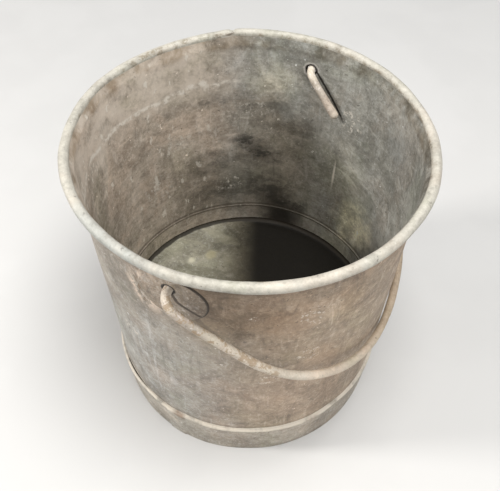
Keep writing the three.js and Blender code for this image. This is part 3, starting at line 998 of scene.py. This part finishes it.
def wire_piece(name, line, radius, sides=20):
    """A round wire along a line, with rounded ends."""
    tangents = np.gradient(line, axis=0)
    tangents /= np.linalg.norm(tangents, axis=1)[:, None]
    up = np.cross(tangents[0], (0, 1, 0.3))
    frames = []
    for tangent in tangents:
        up = up - tangent * np.dot(up, tangent)
        up /= np.linalg.norm(up)
        frames.append((up, np.cross(tangent, up)))
    turn = full_turn(sides)
    rings = []
    for middle, (first, second), size in zip(line, frames, radius):
        circle = np.outer(np.cos(turn), first) + np.outer(np.sin(turn), second)
        rings.append(middle + size * circle)
    vertices = np.concatenate(rings).tolist()
    faces = [tuple(range(sides))[::-1]]
    for i in range(len(line) - 1):
        for j in range(sides):
            k = (j + 1) % sides
            faces.append((i * sides + j, i * sides + k, (i + 1) * sides + k, (i + 1) * sides + j))
    last = (len(line) - 1) * sides
    faces.append(tuple(range(last, last + sides)))
    return new_piece(name, vertices, faces, 70)


def bail_wire():
    line = even_line(bail_half(-1) + bail_half(1)[-2::-1], 1.6 * MM)
    line[:, 1] += BAIL_SLIDE
    # The bail was bent by hand, so that it wanders a little between its shoulders.
    run = np.linspace(0, 1, len(line))
    free = ease(run, 0.14, 0.22) * ease(1 - run, 0.14, 0.22)
    line[:, 2] += free * 0.5 * MM * np.sin(23 * run + 0.6)
    line[:, 0] += free * 0.2 * MM * (1 + np.sin(31 * run))
    # The bow is bent in towards the wall on the +Y side.
    bent = (1 - np.clip(np.abs(line[:, 1] - 25 * MM) / (90 * MM), 0, 1) ** 2) ** 2
    bent *= BAIL_BEND * ease(line[:, 0], 30 * MM, 50 * MM)
    line[:, 0] -= bent * math.sin(math.radians(BAIL_TILT))
    line[:, 2] += bent * math.cos(math.radians(BAIL_TILT))
    # The wire's thickness wavers, and its ends are thicker and rounded.
    radius = BAIL_WIRE * (1 + 0.02 * np.sin(90 * run) + 0.015 * np.sin(37 * run))
    end = np.minimum(np.arange(len(line)), np.arange(len(line))[::-1])
    radius *= 1 + 0.14 * ease(-end, -18, 0)
    rounding = np.clip(end / 2.2, 0, 1)
    radius *= 0.35 + 0.65 * np.sqrt(1 - (1 - rounding) ** 2)
    wire = wire_piece("bail_wire", line, radius)
    wire.data.materials.append(bail_zinc())
    return wire


# ---- Assembly -----------------------------------------------------------


def settle(piece, body, slot, *nodes):
    """Says what a piece rides and the CAD nodes it stands for. Its slot argument is not used."""
    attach(piece, body)
    if nodes:
        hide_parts(*nodes)


outer_metal, inner_metal = outside_zinc(), inside_zinc()
settle(wall_and_rim(outer_metal, inner_metal), "bucket", "wall_zinc", "body_shell")
settle(wire_in_rim(), "bucket", "rim_wire_steel", "rim_wire")
settle(bottom(inner_metal), "bucket", "bottom_zinc", "bottom_pan")
settle(foot_band(), "bucket", "hoop_zinc", "foot_hoop")
settle(ear(-1, "ear_front"), "bucket", "ear_zinc", "ear_plate_front")
settle(ear(1, "ear_back"), "bucket", "ear_zinc", "ear_plate_back")
settle(ear_solder(-1, "ear_solder_front", outer_metal), "bucket", "ear_zinc")
settle(ear_solder(1, "ear_solder_back", outer_metal), "bucket", "ear_zinc")
settle(bail_wire(), "bail", "bail_zinc", "bail")


def off_the_gap(angle):
    """Leaves out the solder where the foot hoop has sprung off the wall."""
    return 1 - 0.98 * ease(hill(angle, SPRUNG_ANGLE + 2, 30), 0.0, 0.12)


inner_line = solder_ring(
    "bottom_solder", PAN_TOP + 0.1 * MM, 0.7 * MM, 1.5 * MM, -0.6 * MM, np.ones_like, inner_metal
)
settle(inner_line, "bucket", "bottom_zinc")
hoop_line = solder_ring(
    "hoop_solder", HOOP_TOP + 0.2 * MM, 0.7 * MM, 1.5 * MM, 1.5 * MM, off_the_gap, hoop_zinc()
)
settle(hoop_line, "bucket", "hoop_zinc")


# ---- Floor, light and camera --------------------------------------------


PALE = (0.56, 0.555, 0.545)
FLOOR_HALF = 20.0  # wide enough to show no corner from any side

LENS = 53.66
LENS_SHIFT = -0.111
CAMERA_PLACE = Vector((0.1530, -0.3469, 0.5957))
CAMERA_AIM = Vector((0, 0, 0.1958))
CAMERA_ROLL = 0.97


def floor():
    surface = Surface("pale_floor", 0.9, 0)
    surface.lay(PALE)
    shade = surface.noise(9, 4, 0.5)
    surface.lay(tuple(c * 0.97 for c in PALE), surface.between(shade, 0.4, 0.6))
    corners = [(x * FLOOR_HALF, y * FLOOR_HALF, 0) for x, y in ((-1, -1), (1, -1), (1, 1), (-1, 1))]
    plane = new_piece("floor", corners, [(0, 1, 2, 3)])
    plane.data.materials.append(surface.finish())


def soft_light(name, place, aim, size, power, colour=(1, 1, 1)):
    lamp = bpy.data.lights.new(name, "AREA")
    lamp.shape = "DISK"
    lamp.size = size
    lamp.energy = power
    lamp.color = colour
    light = bpy.data.objects.new(name, lamp)
    light.location = place
    direction = Vector(aim) - Vector(place)
    light.rotation_mode = "QUATERNION"
    light.rotation_quaternion = direction.to_track_quat("-Z", "Y")
    bpy.context.scene.collection.objects.link(light)


def camera():
    """The photograph's viewpoint: 47 degrees down, from the side of the near bail hole."""
    data = bpy.data.cameras.new("camera")
    data.sensor_width = 36
    data.lens = LENS
    data.shift_y = LENS_SHIFT
    viewer = bpy.data.objects.new("camera", data)
    roll = Matrix.Rotation(math.radians(CAMERA_ROLL), 4, "Z")
    look = (CAMERA_AIM - CAMERA_PLACE).to_track_quat("-Z", "Y").to_matrix().to_4x4()
    viewer.matrix_world = Matrix.Translation(CAMERA_PLACE) @ look @ roll
    bpy.context.scene.collection.objects.link(viewer)
    bpy.context.scene.camera = viewer


floor()
soft_light("key_light", (-1.2, -0.70, 1.0), (0, 0, 0.15), 0.28, 19, (1.0, 0.975, 0.94))
soft_light("top_light", (0.30, -0.10, 1.7), (0, 0, 0.1), 0.8, 27, (1.0, 0.99, 0.97))
soft_light("fill_light", (1.1, -0.9, 0.9), (0, 0, 0.15), 1.0, 7, (1.0, 0.98, 0.95))
camera()
world = bpy.data.worlds.new("studio")
world.use_nodes = True
world.node_tree.nodes["Background"].inputs["Color"].default_value = (0.80, 0.82, 0.85, 1)
world.node_tree.nodes["Background"].inputs["Strength"].default_value = 0.50
bpy.context.scene.world = world
bpy.context.scene.view_settings.view_transform = "Standard"
